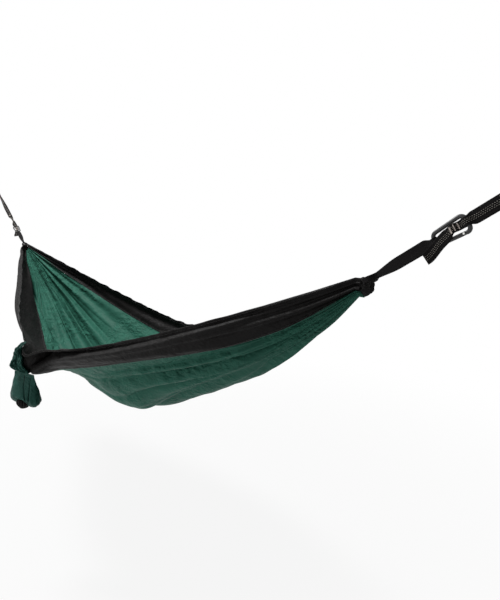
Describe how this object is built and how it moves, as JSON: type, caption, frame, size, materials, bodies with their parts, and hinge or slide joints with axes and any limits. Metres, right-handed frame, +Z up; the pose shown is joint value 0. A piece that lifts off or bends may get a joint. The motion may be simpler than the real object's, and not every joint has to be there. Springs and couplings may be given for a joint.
{
  "type": "camping hammock",
  "caption": "Gathered-end camping hammock slung between webbing tree straps, with a hinged sprung gate on each carabiner and a stuff sack hanging from the middle of one hem",
  "frame": {"origin": "the middle of the hole in the right tree strap's sewn eye, from which that end of the hammock hangs", "axes": "+X runs along the hammock from its left end to its right end, +Z is up, and +Y points to the far side, away from the hem that carries the stuff sack"},
  "size_m": [4.2102, 0.8045, 1.0488],
  "materials": {
    "green_cloth": "thin woven nylon, dull teal green",
    "black_cloth": "thin woven nylon, black",
    "black_webbing": "black polyester webbing with grey dashed stitching and pale bar tacks",
    "black_anodised": "black anodised, satin",
    "bright_steel": "bright"
  },
  "bodies": {
    "tree_ends": {"right_strap_eye": "black_webbing", "left_strap_eye": "black_webbing"},
    "hammock": {"centre_panel": "green_cloth", "near_side_panel": "black_cloth", "far_side_panel": "black_cloth", "near_hem": "black_cloth", "far_hem": "black_cloth", "sack_flap": "green_cloth", "right_end_channel": "black_cloth", "right_webbing_loop": "black_webbing", "right_tree_strap": "black_webbing", "right_strap_loop_ply": "black_webbing", "right_carabiner_body": "black_anodised", "left_end_channel": "black_cloth", "left_webbing_loop": "black_webbing", "left_tree_strap": "black_webbing", "left_strap_loop_ply": "black_webbing", "left_carabiner_body": "black_anodised"},
    "right_gate": {"right_gate": "black_anodised", "right_gate_rivet": "bright_steel", "right_latch_pin": "bright_steel", "right_gate_spring": "bright_steel", "right_gate_plunger": "bright_steel"},
    "left_gate": {"left_gate": "black_anodised", "left_gate_rivet": "bright_steel", "left_latch_pin": "bright_steel", "left_gate_spring": "bright_steel", "left_gate_plunger": "bright_steel"},
    "sack": {"stuff_sack": "green_cloth", "sack_mouth_casing": "black_cloth"}
  },
  "joints": [
    {"name": "hammock_swing", "type": "hinge", "parent": "tree_ends", "child": "hammock", "pos_m": [-0.0397, 0, -0.02357], "axis": [1, 0, 0], "range_deg": [-25, 25]},
    {"name": "right_gate_hinge", "type": "hinge", "parent": "hammock", "child": "right_gate", "pos_m": [-0.457, 0.00058, -0.29058], "axis": [-0.0178, 0.9994, 0.03], "range_deg": [0, 22], "stiffness_Nm_per_rad": 0.25, "springref_deg": -20.05},
    {"name": "left_gate_hinge", "type": "hinge", "parent": "hammock", "child": "left_gate", "pos_m": [-3.66015, -0.01487, -0.28908], "axis": [0.4344, -0.4384, 0.7869], "range_deg": [0, 22], "stiffness_Nm_per_rad": 0.25, "springref_deg": -20.05},
    {"name": "sack_swing", "type": "hinge", "parent": "hammock", "child": "sack", "pos_m": [-2.07722, -0.37247, -0.87658], "axis": [-0.9272, -0.3746, 0], "range_deg": [-2, 40]}
  ]
}
